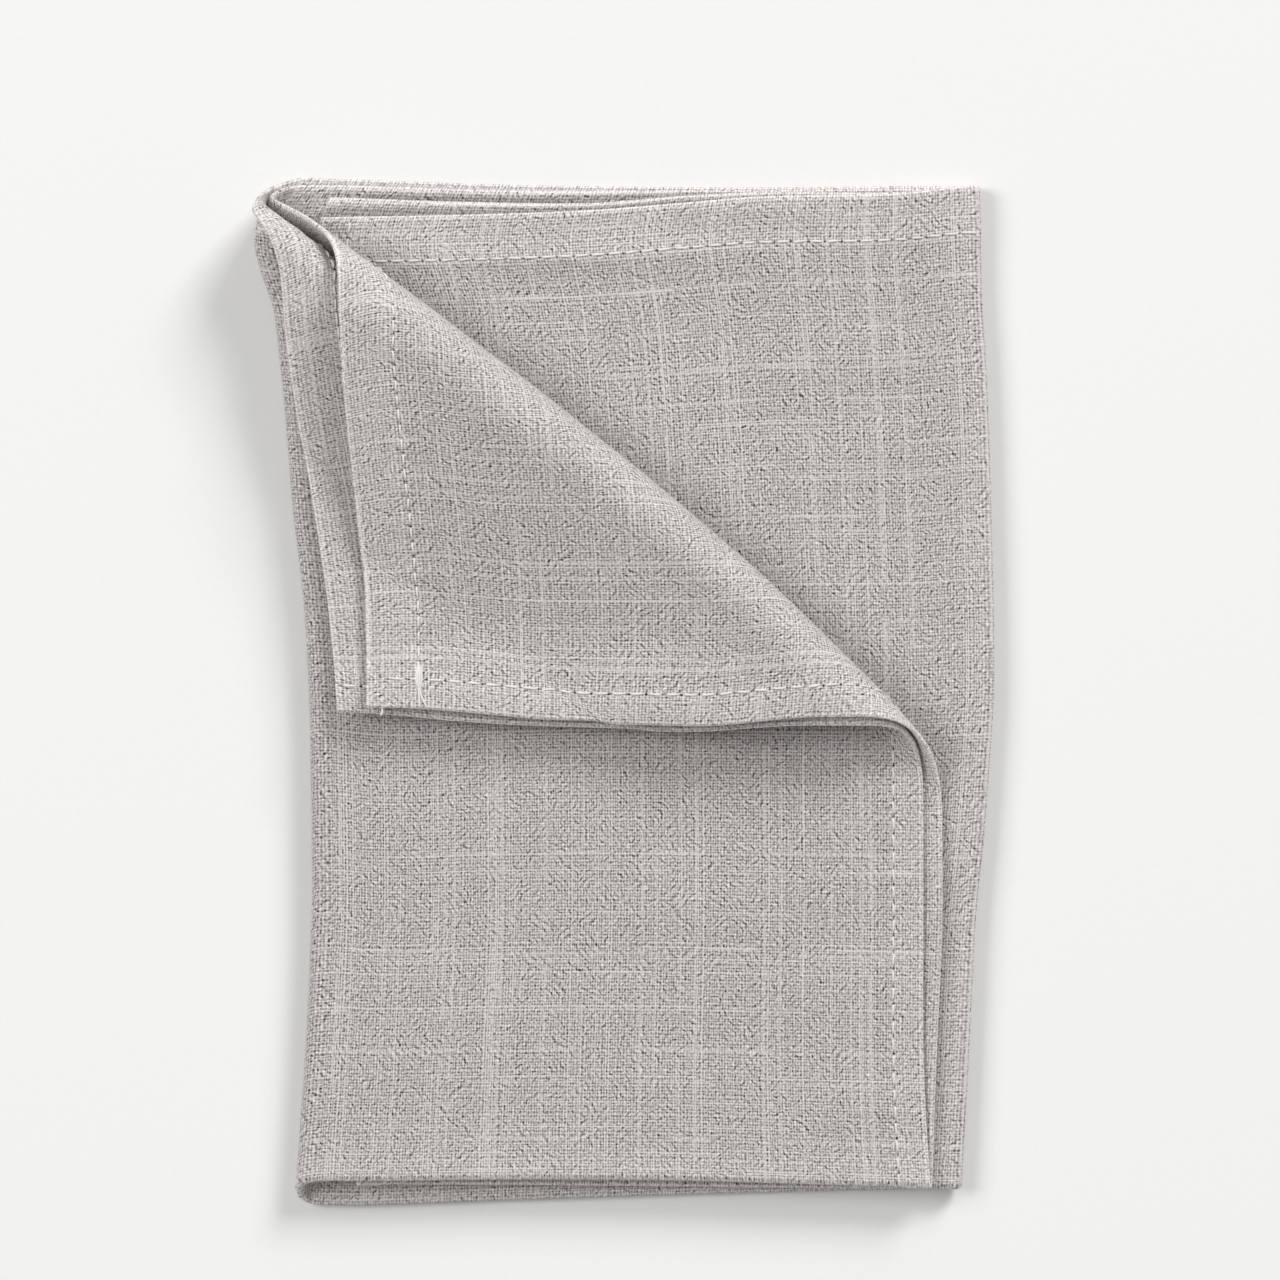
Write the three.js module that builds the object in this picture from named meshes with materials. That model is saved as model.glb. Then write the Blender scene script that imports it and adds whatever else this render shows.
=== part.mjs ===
// Folded cloth napkin, in millimetres, +Z up, lying on the plane z = 0.
// One hemmed square of cloth is folded in half, then in thirds like a letter, and the upper right
// corner of the top third is turned back over a loose diagonal roll.
//
// Cloth coordinates: u runs across the thirds from the hidden side hem to the side hem on top,
// v runs from one hem at the top edge, round the half fold at the bottom, to the other hem.
// The half of the cloth with v below the half fold is the outer one of the two that lie together.
import * as THREE from "three";

// Cloth
const CLOTH_SIDE = 450;
const CLOTH_THICK = 1.0;
const LAYER_PITCH = 1.6;

// Stack of the three thirds, each two layers thick: base third, middle third, top third
const HALF_LENGTH = CLOTH_SIDE / 2;
const THIRD_WIDTH = CLOTH_SIDE / 3;
const HALF_PITCH = LAYER_PITCH / 2;
const BASE_MID = HALF_PITCH + CLOTH_THICK / 2;
const MIDDLE_MID = BASE_MID + 2 * LAYER_PITCH;
const TOP_MID = MIDDLE_MID + 2 * LAYER_PITCH;

// Folds: the half fold at the bottom, the right fold inside the left fold
const HALF_FOLD_RADIUS = HALF_PITCH;
const RIGHT_FOLD_RADIUS = LAYER_PITCH;
const LEFT_FOLD_RADIUS = 2 * LAYER_PITCH;
const FOLD_RIM = HALF_PITCH + CLOTH_THICK / 2;
const STRAIGHT_LENGTH = HALF_LENGTH - (Math.PI / 2) * HALF_FOLD_RADIUS;
const RIGHT_FOLD_FROM = THIRD_WIDTH - (Math.PI / 2) * RIGHT_FOLD_RADIUS;
const RIGHT_FOLD_TO = THIRD_WIDTH + (Math.PI / 2) * RIGHT_FOLD_RADIUS;
const LEFT_FOLD_FROM = 2 * THIRD_WIDTH - (Math.PI / 2) * LEFT_FOLD_RADIUS;
const LEFT_FOLD_TO = 2 * THIRD_WIDTH + (Math.PI / 2) * LEFT_FOLD_RADIUS;
const HIDDEN_HEM_INSET = 3;

// Outline across the napkin at each section: the two folds and the side hems of the top third
const SECTIONS = [
  { y: -110, leftFold: -72.6, rightFold: 74.6, outerHem: 67.3, innerHem: 67.6 },
  { y: -82, leftFold: -70.6, rightFold: 76.2, outerHem: 65.8, innerHem: 68.6 },
  { y: -50, leftFold: -69.0, rightFold: 77.8, outerHem: 65.7, innerHem: 69.9 },
  { y: -32, leftFold: -69.0, rightFold: 79.6, outerHem: 65.7, innerHem: 69.9 },
  { y: -15, leftFold: -69.2, rightFold: 80.9, outerHem: 65.7, innerHem: 69.8 },
  { y: 0, leftFold: -69.6, rightFold: 81.8, outerHem: 66.2, innerHem: 68.9 },
  { y: 20, leftFold: -70.8, rightFold: 81.7, outerHem: 67.2, innerHem: 69.4 },
  { y: 40, leftFold: -73.1, rightFold: 81.2, outerHem: 69.0, innerHem: 71.9 },
  { y: 55, leftFold: -74.3, rightFold: 80.8, outerHem: 68.8, innerHem: 72.1 },
  { y: 75, leftFold: -76.2, rightFold: 79.9, outerHem: 67.4, innerHem: 71.6 },
  { y: 85, leftFold: -77.6, rightFold: 79.2, outerHem: 66.1, innerHem: 70.3 },
  { y: 92, leftFold: -79.4, rightFold: 79.0, outerHem: 64.9, innerHem: 69.2 },
  { y: 99, leftFold: -81.4, rightFold: 78.8, outerHem: 63.4, innerHem: 68.2 },
  { y: 106, leftFold: -80.4, rightFold: 78.6, outerHem: 62.1, innerHem: 67.4 },
  { y: 114, leftFold: -76.5, rightFold: 78.4, outerHem: 60.7, innerHem: 67.0 },
];

// Hems at the top edge and half fold at the bottom, along the cloth
const EDGES = [
  { u: 0, outerTop: 104.4, innerTop: 108.9, bottom: -108.6 },
  { u: 30, outerTop: 104.9, innerTop: 107.9, bottom: -108.6 },
  { u: 60, outerTop: 105.9, innerTop: 107.6, bottom: -108.8 },
  { u: 82, outerTop: 107.6, innerTop: 109.2, bottom: -109.0 },
  { u: 100, outerTop: 109.0, innerTop: 110.0, bottom: -109.2 },
  { u: 130, outerTop: 109.6, innerTop: 110.0, bottom: -109.4 },
  { u: 150, outerTop: 111.4, innerTop: 110.9, bottom: -109.6 },
  { u: 200, outerTop: 111.2, innerTop: 110.6, bottom: -110.6 },
  { u: 250, outerTop: 111.8, innerTop: 110.6, bottom: -112.1 },
  { u: 290, outerTop: 113.2, innerTop: 111.8, bottom: -113.4 },
  { u: 297, outerTop: 113.2, innerTop: 111.4, bottom: -112.6 },
  { u: 303, outerTop: 111.8, innerTop: 108.8, bottom: -108.2 },
  { u: 315, outerTop: 109.0, innerTop: 105.8, bottom: -107.6 },
  { u: 325, outerTop: 108.4, innerTop: 104.8, bottom: -107.5 },
  { u: 340, outerTop: 109.4, innerTop: 105.7, bottom: -107.3 },
  { u: 365, outerTop: 110.3, innerTop: 107.6, bottom: -107.2 },
  { u: 390, outerTop: 110.5, innerTop: 108.5, bottom: -107.4 },
  { u: 420, outerTop: 110.7, innerTop: 109.4, bottom: -108.2 },
  { u: 450, outerTop: 111.5, innerTop: 111.1, bottom: -109.0 },
];

// Turned corner: a bowed diagonal crease, a loose roll, a slope down and a flap lying flat
const CREASE_ANGLE = THREE.MathUtils.degToRad(42.5);
const CREASE_OFFSET = 22.8;
const CREASE_BOW = 8.0;
const CREASE_SWAY = 2.6;
const CREASE_HALF_LENGTH = 95;
const CREASE_REACH = { from: -1.5, to: 1.3 };
const ROLL_RADIUS = { upperLeft: 7.2, lowerRight: 6.2 };
const ROLL_SPREAD = { upperLeft: 1.4, lowerRight: 0.1 };
const ROLL_LEAN = THREE.MathUtils.degToRad(25);
const ROLL_TURN = Math.PI + ROLL_LEAN;
const SETTLE_RADIUS = 12;
const FLAP_LIFT = 1.2;
const FLAP_SKEW = -0.14;
const ALONG = new THREE.Vector2(Math.cos(CREASE_ANGLE), -Math.sin(CREASE_ANGLE));
const ACROSS = new THREE.Vector2(Math.sin(CREASE_ANGLE), Math.cos(CREASE_ANGLE));

// Mesh lines
const ROW_TOP = 112;
const ROW_BOTTOM = -107.5;
const ROW_BANDS = [
  { from: 112, to: 82, rows: 5 },
  { from: 82, to: 48, rows: 4 },
  { from: 48, to: -14, rows: 11 },
  { from: -14, to: ROW_BOTTOM, rows: 4 },
];
const HALF_FOLD_STEPS = 4;
const MIDDLE_COLUMNS = 4;
const RIGHT_FOLD_STEPS = 4;
const BASE_COLUMNS = 4;
const LEFT_FOLD_STEPS = 6;
const BEFORE_ROLL_COLUMNS = 3;
const ROLL_STATIONS = [-5, 0, 3.5, 7, 10.5, 14, 17.5, 21, 25, 32, 40, 47];
const FLAP_COLUMNS = 4;
const COLUMN_GAP = 6;
const ROW_SEARCH_U = 380;
const CREASE_SEARCH_PASSES = 8;
const NORMAL_STEP = 0.02;

// Material
const CLOTH_COLOUR = 0xb3afac;
const CLOTH_ROUGHNESS = 0.9;

// Smooth curve through one column of a table, as a function of another column.
function tableCurve(rows, from, to) {
  const at = rows.map((row) => row[from]);
  const value = rows.map((row) => row[to]);
  const last = rows.length - 1;
  const slope = value.map((unused, i) => {
    const before = Math.max(i - 1, 0);
    const after = Math.min(i + 1, last);
    return (value[after] - value[before]) / (at[after] - at[before]);
  });
  return (place) => {
    const p = THREE.MathUtils.clamp(place, at[0], at[last]);
    let i = 0;
    while (i < last - 1 && p > at[i + 1]) i += 1;
    const width = at[i + 1] - at[i];
    const t = (p - at[i]) / width;
    const rise = t * t * (3 - 2 * t);
    const bendIn = t * (1 - t) * (1 - t) * width * slope[i];
    const bendOut = t * t * (t - 1) * width * slope[i + 1];
    return value[i] + (value[i + 1] - value[i]) * rise + bendIn + bendOut;
  };
}

const leftFoldAt = tableCurve(SECTIONS, "y", "leftFold");
const rightFoldAt = tableCurve(SECTIONS, "y", "rightFold");
const outerHemAt = tableCurve(SECTIONS, "y", "outerHem");
const innerHemAt = tableCurve(SECTIONS, "y", "innerHem");
const outerTopAt = tableCurve(EDGES, "u", "outerTop");
const innerTopAt = tableCurve(EDGES, "u", "innerTop");
const bottomAt = tableCurve(EDGES, "u", "bottom");

// Half fold: how far up the napkin a cloth point lies, and on which side of its pair of layers.
// Side is +1 on the outer layer, -1 on the inner one, and between them round the fold.
function halfFold(u, v) {
  const onOuter = v < HALF_LENGTH;
  const straight = Math.min(onOuter ? v : CLOTH_SIDE - v, STRAIGHT_LENGTH);
  const angle = THREE.MathUtils.clamp((v - STRAIGHT_LENGTH) / HALF_FOLD_RADIUS, 0, Math.PI);
  const top = onOuter ? outerTopAt(u) : innerTopAt(u);
  const foldStart = bottomAt(u) + CLOTH_THICK / 2 + HALF_FOLD_RADIUS;
  const down = straight / STRAIGHT_LENGTH;
  const y = THREE.MathUtils.lerp(top, foldStart, down) - HALF_FOLD_RADIUS * Math.sin(angle);
  return { y, side: Math.cos(angle) };
}

// Middles of the two folds and the side hem of the top third, at one height up the napkin.
function sectionLines(y, side) {
  const outerShare = (1 + side) / 2;
  return {
    left: leftFoldAt(y) + FOLD_RIM + LEFT_FOLD_RADIUS,
    right: rightFoldAt(y) - FOLD_RIM - RIGHT_FOLD_RADIUS,
    hem: THREE.MathUtils.lerp(innerHemAt(y), outerHemAt(y), outerShare),
  };
}

// Letter fold: the place of a cloth point in its section, and how much of the corner's turn it takes.
function letterFold(u, y, side) {
  const { left, right, hem } = sectionLines(y, side);
  const offset = side * HALF_PITCH;
  if (u < RIGHT_FOLD_FROM) {
    const x = THREE.MathUtils.lerp(left + HIDDEN_HEM_INSET, right, u / RIGHT_FOLD_FROM);
    return { x, z: MIDDLE_MID + offset, turnShare: 0 };
  }
  if (u < RIGHT_FOLD_TO) {
    const angle = (u - RIGHT_FOLD_FROM) / RIGHT_FOLD_RADIUS;
    const radius = RIGHT_FOLD_RADIUS + offset;
    const middle = MIDDLE_MID - RIGHT_FOLD_RADIUS;
    return { x: right + radius * Math.sin(angle), z: middle + radius * Math.cos(angle), turnShare: 0 };
  }
  if (u < LEFT_FOLD_FROM) {
    const share = (u - RIGHT_FOLD_TO) / (LEFT_FOLD_FROM - RIGHT_FOLD_TO);
    return { x: THREE.MathUtils.lerp(right, left, share), z: BASE_MID - offset, turnShare: 0 };
  }
  if (u < LEFT_FOLD_TO) {
    const angle = (u - LEFT_FOLD_FROM) / LEFT_FOLD_RADIUS;
    const radius = LEFT_FOLD_RADIUS + offset;
    const middle = BASE_MID + LEFT_FOLD_RADIUS;
    const turnShare = (1 - Math.cos(angle)) / 2;
    return { x: left - radius * Math.sin(angle), z: middle - radius * Math.cos(angle), turnShare };
  }
  const share = (u - LEFT_FOLD_TO) / (CLOTH_SIDE - LEFT_FOLD_TO);
  return { x: THREE.MathUtils.lerp(left, hem, share), z: TOP_MID + offset, turnShare: 1 };
}

// Distance of the crease from the napkin's middle, at a place along it.
function creaseAt(along) {
  const share = THREE.MathUtils.clamp(along / CREASE_HALF_LENGTH, CREASE_REACH.from, CREASE_REACH.to);
  return CREASE_OFFSET + (CREASE_BOW + CREASE_SWAY * share) * (1 - share * share);
}

// Radius of the roll, and how far its two layers part as they go round it.
function rollAt(along) {
  const share = THREE.MathUtils.clamp((along / CREASE_HALF_LENGTH + 1) / 2, 0, 1);
  return {
    radius: THREE.MathUtils.lerp(ROLL_RADIUS.upperLeft, ROLL_RADIUS.lowerRight, share),
    layerSpread: THREE.MathUtils.lerp(ROLL_SPREAD.upperLeft, ROLL_SPREAD.lowerRight, share),
  };
}

// Section of the roll: where a point this far past the crease comes to lie, across and up.
// After the roll the layers slope down and settle just above the top third.
function rollSection(length, along, side) {
  const { radius, layerSpread } = rollAt(along);
  const startRadius = radius - side * HALF_PITCH;
  const spread = side * layerSpread;
  const endRadius = startRadius - spread;
  const arcLength = ((startRadius + endRadius) / 2) * ROLL_TURN;
  if (length <= arcLength) {
    const narrowing = (2 * spread * length) / ROLL_TURN;
    const angle = (2 * length) / (startRadius + Math.sqrt(startRadius * startRadius - narrowing));
    const pointRadius = startRadius - (spread * angle) / ROLL_TURN;
    return { across: pointRadius * Math.sin(angle), up: radius - pointRadius * Math.cos(angle) };
  }
  const sin = Math.sin(ROLL_LEAN);
  const cos = Math.cos(ROLL_LEAN);
  const slopeFrom = { across: -endRadius * sin, up: radius + endRadius * cos };
  const flapHeight = 2 * LAYER_PITCH + FLAP_LIFT - side * HALF_PITCH;
  const drop = slopeFrom.up - flapHeight - SETTLE_RADIUS * (1 - cos);
  const slopeLength = drop / sin;
  const past = length - arcLength;
  if (past <= slopeLength) return { across: slopeFrom.across - past * cos, up: slopeFrom.up - past * sin };
  const bend = Math.min((past - slopeLength) / SETTLE_RADIUS, ROLL_LEAN);
  const flat = past - slopeLength - SETTLE_RADIUS * bend;
  const settled = SETTLE_RADIUS * (sin - Math.sin(ROLL_LEAN - bend));
  const sunk = SETTLE_RADIUS * (Math.cos(ROLL_LEAN - bend) - cos);
  return { across: slopeFrom.across - slopeLength * cos - settled - flat, up: slopeFrom.up - drop - sunk };
}

// Move of a point of the top third when the corner is turned back.
function cornerTurn(x, y, side) {
  const along = x * ALONG.x + y * ALONG.y;
  const crease = creaseAt(along);
  const past = x * ACROSS.x + y * ACROSS.y - crease;
  if (past <= 0) return new THREE.Vector3();
  const { across, up } = rollSection(past, along, side);
  const slide = FLAP_SKEW * past;
  const pull = across - past;
  return new THREE.Vector3(
    slide * ALONG.x + pull * ACROSS.x,
    slide * ALONG.y + pull * ACROSS.y,
    up - side * HALF_PITCH,
  );
}

// Middle of the sheet at a cloth point.
function clothPoint(u, v) {
  const { y, side } = halfFold(u, v);
  const { x, z, turnShare } = letterFold(u, y, side);
  return new THREE.Vector3(x, y, z).addScaledVector(cornerTurn(x, y, side), turnShare);
}

function clothNormal(u, v) {
  const stepTo = (value) => Math.min(value + NORMAL_STEP, CLOTH_SIDE);
  const stepFrom = (value) => Math.max(value - NORMAL_STEP, 0);
  const alongU = clothPoint(stepTo(u), v).sub(clothPoint(stepFrom(u), v));
  const alongV = clothPoint(u, stepTo(v)).sub(clothPoint(u, stepFrom(v)));
  return alongU.cross(alongV).normalize();
}

function evenSteps(from, to, count) {
  return Array.from({ length: count }, (unused, i) => THREE.MathUtils.lerp(from, to, i / count));
}

// Rows of the mesh, down the outer half, round the half fold and up the inner half.
function meshRows() {
  const scale = STRAIGHT_LENGTH / (ROW_TOP - ROW_BOTTOM);
  const heights = ROW_BANDS.flatMap((band) => evenSteps(band.from, band.to, band.rows));
  const outer = heights.map((y) => (ROW_TOP - y) * scale);
  const round = [];
  for (let step = 0; step <= HALF_FOLD_STEPS; step += 1) {
    round.push(STRAIGHT_LENGTH + (HALF_FOLD_RADIUS * Math.PI * step) / HALF_FOLD_STEPS);
  }
  const inner = outer.map((v) => CLOTH_SIDE - v).reverse();
  return [...outer, ...round, ...inner];
}

// Columns of the top third in one row: a few before the roll, close ones round it, a few on the flap.
function topColumns(v) {
  const { y, side } = halfFold(ROW_SEARCH_U, v);
  const { left, hem } = sectionLines(y, side);
  let creaseX = left;
  for (let pass = 0; pass < CREASE_SEARCH_PASSES; pass += 1) {
    const crease = creaseAt(creaseX * ALONG.x + y * ALONG.y);
    creaseX = (crease - y * ACROSS.y) / ACROSS.x;
  }
  const stations = ROLL_STATIONS.map((past, i) => {
    const lowest = left + (BEFORE_ROLL_COLUMNS + i) * COLUMN_GAP;
    const highest = hem - (FLAP_COLUMNS + ROLL_STATIONS.length - 1 - i) * COLUMN_GAP;
    return THREE.MathUtils.clamp(creaseX + past / ACROSS.x, lowest, highest);
  });
  const places = [
    ...evenSteps(left, stations[0], BEFORE_ROLL_COLUMNS),
    ...stations.slice(0, -1),
    ...evenSteps(stations.at(-1), hem, FLAP_COLUMNS),
    hem,
  ];
  const cloth = CLOTH_SIDE - LEFT_FOLD_TO;
  return places.map((x) => LEFT_FOLD_TO + (cloth * (x - left)) / (hem - left));
}

function meshColumns(v) {
  return [
    ...evenSteps(0, RIGHT_FOLD_FROM, MIDDLE_COLUMNS),
    ...evenSteps(RIGHT_FOLD_FROM, RIGHT_FOLD_TO, RIGHT_FOLD_STEPS),
    ...evenSteps(RIGHT_FOLD_TO, LEFT_FOLD_FROM, BASE_COLUMNS),
    ...evenSteps(LEFT_FOLD_FROM, LEFT_FOLD_TO, LEFT_FOLD_STEPS),
    ...topColumns(v),
  ];
}

// Closed sheet: a face on each side of the cloth, joined by a rim along its four hems.
function sheetGeometry() {
  const rows = meshRows();
  const grid = rows.map((v) => meshColumns(v).map((u) => ({ u, v })));
  const columns = grid[0].length;
  const sideCount = rows.length * columns;
  const positions = [];
  for (const sign of [1, -1]) {
    for (const { u, v } of grid.flat()) {
      const point = clothPoint(u, v).addScaledVector(clothNormal(u, v), (sign * CLOTH_THICK) / 2);
      positions.push(point.x, point.y, point.z);
    }
  }
  const triangles = [];
  const at = (row, column) => row * columns + column;
  for (let row = 0; row < rows.length - 1; row += 1) {
    for (let column = 0; column < columns - 1; column += 1) {
      const a = at(row, column);
      const b = at(row, column + 1);
      const c = at(row + 1, column + 1);
      const d = at(row + 1, column);
      // The edge across each cell runs the way the roll does.
      const onOuter = rows[row] < HALF_LENGTH;
      const pair = onOuter ? [a, b, c, a, c, d] : [a, b, d, b, c, d];
      triangles.push(...pair, ...pair.map((corner) => sideCount + corner).reverse());
    }
  }
  const lastRow = rows.length - 1;
  const lastColumn = columns - 1;
  const rim = [];
  for (let column = 0; column < lastColumn; column += 1) rim.push(at(0, column));
  for (let row = 0; row < lastRow; row += 1) rim.push(at(row, lastColumn));
  for (let column = lastColumn; column > 0; column -= 1) rim.push(at(lastRow, column));
  for (let row = lastRow; row > 0; row -= 1) rim.push(at(row, 0));
  rim.forEach((a, i) => {
    const b = rim[(i + 1) % rim.length];
    triangles.push(a, sideCount + a, sideCount + b, a, sideCount + b, b);
  });
  const geometry = new THREE.BufferGeometry();
  geometry.setAttribute("position", new THREE.Float32BufferAttribute(positions, 3));
  geometry.setIndex(triangles);
  return geometry;
}

// Origin under the middle of the napkin, on the surface it lies on.
function standOnOrigin(geometry) {
  geometry.computeBoundingBox();
  const middle = geometry.boundingBox.getCenter(new THREE.Vector3());
  geometry.translate(-middle.x, -middle.y, -geometry.boundingBox.min.z);
  geometry.computeVertexNormals();
  return geometry;
}

const clothMaterial = new THREE.MeshStandardMaterial({
  color: CLOTH_COLOUR,
  roughness: CLOTH_ROUGHNESS,
  metalness: 0,
});
const napkin = new THREE.Mesh(standOnOrigin(sheetGeometry()), clothMaterial);
napkin.name = "napkin";

const part = new THREE.Group();
part.add(napkin);

export default part;
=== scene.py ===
import math

import bpy
import numpy as np
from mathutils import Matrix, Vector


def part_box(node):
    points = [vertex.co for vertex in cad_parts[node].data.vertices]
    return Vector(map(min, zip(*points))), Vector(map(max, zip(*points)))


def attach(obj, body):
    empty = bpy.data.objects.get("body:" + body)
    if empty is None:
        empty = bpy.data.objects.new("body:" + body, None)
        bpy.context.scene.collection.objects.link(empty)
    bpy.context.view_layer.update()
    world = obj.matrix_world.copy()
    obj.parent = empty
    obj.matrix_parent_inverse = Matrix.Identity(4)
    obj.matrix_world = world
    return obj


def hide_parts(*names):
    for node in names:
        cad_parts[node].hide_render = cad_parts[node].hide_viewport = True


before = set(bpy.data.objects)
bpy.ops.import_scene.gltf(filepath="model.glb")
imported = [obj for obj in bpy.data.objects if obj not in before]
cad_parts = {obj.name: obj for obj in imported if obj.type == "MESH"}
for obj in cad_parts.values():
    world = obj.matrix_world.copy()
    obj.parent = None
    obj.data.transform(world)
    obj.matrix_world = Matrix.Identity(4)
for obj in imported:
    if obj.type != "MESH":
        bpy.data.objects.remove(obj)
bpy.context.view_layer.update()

# Folded cloth napkin. Lengths are in millimetres until a mesh is made, +Z is up, and the napkin lies
# on z = 0. Cloth coordinates: u runs across the thirds from the hidden side hem to the side hem on top,
# v runs from one hem at the top edge, round the half fold at the bottom, to the other hem.
METRES = 0.001

# Cloth and its stack of thirds, two layers each
CLOTH_SIDE = 450.0
LAYER_PITCH = 1.6
SOLID_THICK = 1.0
HALF_LENGTH = CLOTH_SIDE / 2
THIRD_WIDTH = CLOTH_SIDE / 3
HALF_PITCH = LAYER_PITCH / 2
BASE_MID = HALF_PITCH + SOLID_THICK / 2
MIDDLE_MID = BASE_MID + 2 * LAYER_PITCH
TOP_MID = MIDDLE_MID + 2 * LAYER_PITCH

# Folds: the half fold at the bottom, the right fold inside the left fold
HALF_FOLD_RADIUS = HALF_PITCH
RIGHT_FOLD_RADIUS = LAYER_PITCH
LEFT_FOLD_RADIUS = 2 * LAYER_PITCH
FOLD_RIM = HALF_PITCH + SOLID_THICK / 2
STRAIGHT_LENGTH = HALF_LENGTH - math.pi / 2 * HALF_FOLD_RADIUS
RIGHT_FOLD_FROM = THIRD_WIDTH - math.pi / 2 * RIGHT_FOLD_RADIUS
RIGHT_FOLD_TO = THIRD_WIDTH + math.pi / 2 * RIGHT_FOLD_RADIUS
LEFT_FOLD_FROM = 2 * THIRD_WIDTH - math.pi / 2 * LEFT_FOLD_RADIUS
LEFT_FOLD_TO = 2 * THIRD_WIDTH + math.pi / 2 * LEFT_FOLD_RADIUS
HIDDEN_HEM_INSET = 9.0

# Outline across the napkin at each section: the two folds and the side hems of the top third
SECTION_COLUMNS = ("y", "left_fold", "right_fold", "outer_hem", "inner_hem")
SECTIONS = (
    (-110, -72.6, 74.6, 67.3, 67.6),
    (-82, -70.6, 76.2, 65.8, 68.6),
    (-50, -69.0, 77.8, 65.7, 69.9),
    (-32, -69.0, 79.6, 65.7, 69.9),
    (-15, -69.2, 80.9, 65.7, 69.8),
    (0, -69.6, 81.8, 66.2, 68.9),
    (20, -70.8, 81.7, 67.2, 69.4),
    (40, -73.1, 81.2, 69.0, 71.9),
    (55, -74.3, 80.8, 68.8, 72.1),
    (75, -76.2, 79.9, 67.4, 71.6),
    (85, -77.6, 79.2, 66.1, 70.3),
    (92, -80.0, 79.0, 64.9, 69.2),
    (99, -81.5, 78.8, 63.4, 68.2),
    (106, -79.4, 78.6, 62.1, 67.4),
    (114, -74.9, 78.4, 60.7, 67.0),
)

# Hems at the top edge and half fold at the bottom, along the cloth
EDGE_COLUMNS = ("u", "outer_top", "inner_top", "bottom")
EDGES = (
    (0, 104.4, 108.9, -108.6),
    (30, 104.9, 107.9, -108.6),
    (60, 105.9, 107.6, -108.8),
    (82, 107.6, 109.2, -109.0),
    (100, 109.0, 110.0, -109.2),
    (130, 109.6, 110.0, -109.4),
    (150, 111.4, 110.9, -109.6),
    (200, 111.2, 110.6, -110.6),
    (250, 111.8, 110.6, -112.1),
    (290, 113.2, 111.8, -113.4),
    (297, 113.2, 111.4, -112.6),
    (303, 111.8, 108.8, -108.2),
    (315, 109.0, 105.8, -107.6),
    (325, 108.4, 104.8, -107.5),
    (340, 109.4, 105.7, -107.3),
    (365, 110.3, 107.6, -107.2),
    (390, 110.5, 108.5, -107.4),
    (420, 110.7, 109.4, -108.2),
    (450, 111.5, 111.1, -109.0),
)

# Turned corner: a bowed diagonal crease, a loose roll, a slope down and a flap lying flat
CREASE_ANGLE = math.radians(42.5)
CREASE_OFFSET = 23.3
CREASE_BOW = 8.0
CREASE_SWAY = 2.6
CREASE_HALF_LENGTH = 95.0
CREASE_REACH = (-1.5, 1.3)
ROLL_RADIUS_UPPER_LEFT = 7.2
ROLL_RADIUS_LOWER_RIGHT = 6.2
ROLL_SPREAD_UPPER_LEFT = 2.2
ROLL_SPREAD_LOWER_RIGHT = 0.1
ROLL_LEAN = math.radians(14)
ROLL_TURN = math.pi + ROLL_LEAN
SETTLE_RADIUS = 12.0
FLAP_LIFT = 1.2
FLAP_SKEW = -0.14
ALONG = np.array((math.cos(CREASE_ANGLE), -math.sin(CREASE_ANGLE)))
ACROSS = np.array((math.sin(CREASE_ANGLE), math.cos(CREASE_ANGLE)))

# Sheet thickness, thicker where the hem is turned under; outward is the face that shows
CLOTH_THICK = 0.5
HEM_INWARD = 0.34
HEM_OUTWARD = 0.24
HEM_STEP_WIDTH = 0.8
EDGE_ROUND = 1.2
EDGE_THIN = 0.3
TOP_HEM_WIDTH = 12.0
SIDE_HEM_WIDTH = 8.8
TOP_STITCH_AT = 10.5
SIDE_STITCH_AT = 7.3
GROOVE_DEPTH = 0.14
GROOVE_WIDTH = 0.8
PUCKER_HEIGHT = 0.12
PUCKER_LENGTH = 8.5
PUCKER_REACH = 4.5
PUCKER_UNEVEN_SIDE = (1.7, 0.31)
PUCKER_UNEVEN_TOP = (1.9, 0.27)
INNER_FACE = 1
OUTER_FACE = -1

# Loose ends of the middle third, which stand apart at the top edge
FAN_LIFT = 0.7
FAN_LENGTH = 26.0
FAN_CLEAR_OF_ROLL = (2.0, 16.0)
FAN_FADE_X = (-5.0, 45.0)

# Rounded lips of the loose hems that show past the layer above them
LIP_SLOPE = 0.42
LIP_HEIGHT = 1.7
LIP_PLACE = 0.42
LIP_WIDTH = 0.36
LIP_LEAST_SHOWING = 0.01
BASE_LIP_ENDS = 0.1
SIDE_LIP_ENDS_BEFORE_CREASE = (-12.0, -2.0)

# Free hems of the turned corner, which stand off the cloth below them
FLAP_HEM_LIFT_LOWER = 2.4
FLAP_HEM_LIFT_UPPER = 3.8
FLAP_HEM_LIFT_LENGTH = 24.0
FLAP_HEM_LIFT_PAST_CREASE = (14.0, 50.0)
LEFT_HEM_LIFT_SHARE = 0.5

# Painted highlight along the right fold, the half fold and the crest of the roll, where the cloth turns
# away and catches the light
FOLD_HIGHLIGHT_WIDTH = 6.0
ROLL_HIGHLIGHT_FROM = (0.7, 1.4)
ROLL_HIGHLIGHT_TO = (2.6, 4.2)

# Soft unevenness of the thirds that show
SWELL_HEIGHT = 0.08
SWELL_WAVES = 14
SWELL_LENGTHS = (16.0, 46.0)
SWELL_SEED = 11
SWELL_FADE = 12.0
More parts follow.
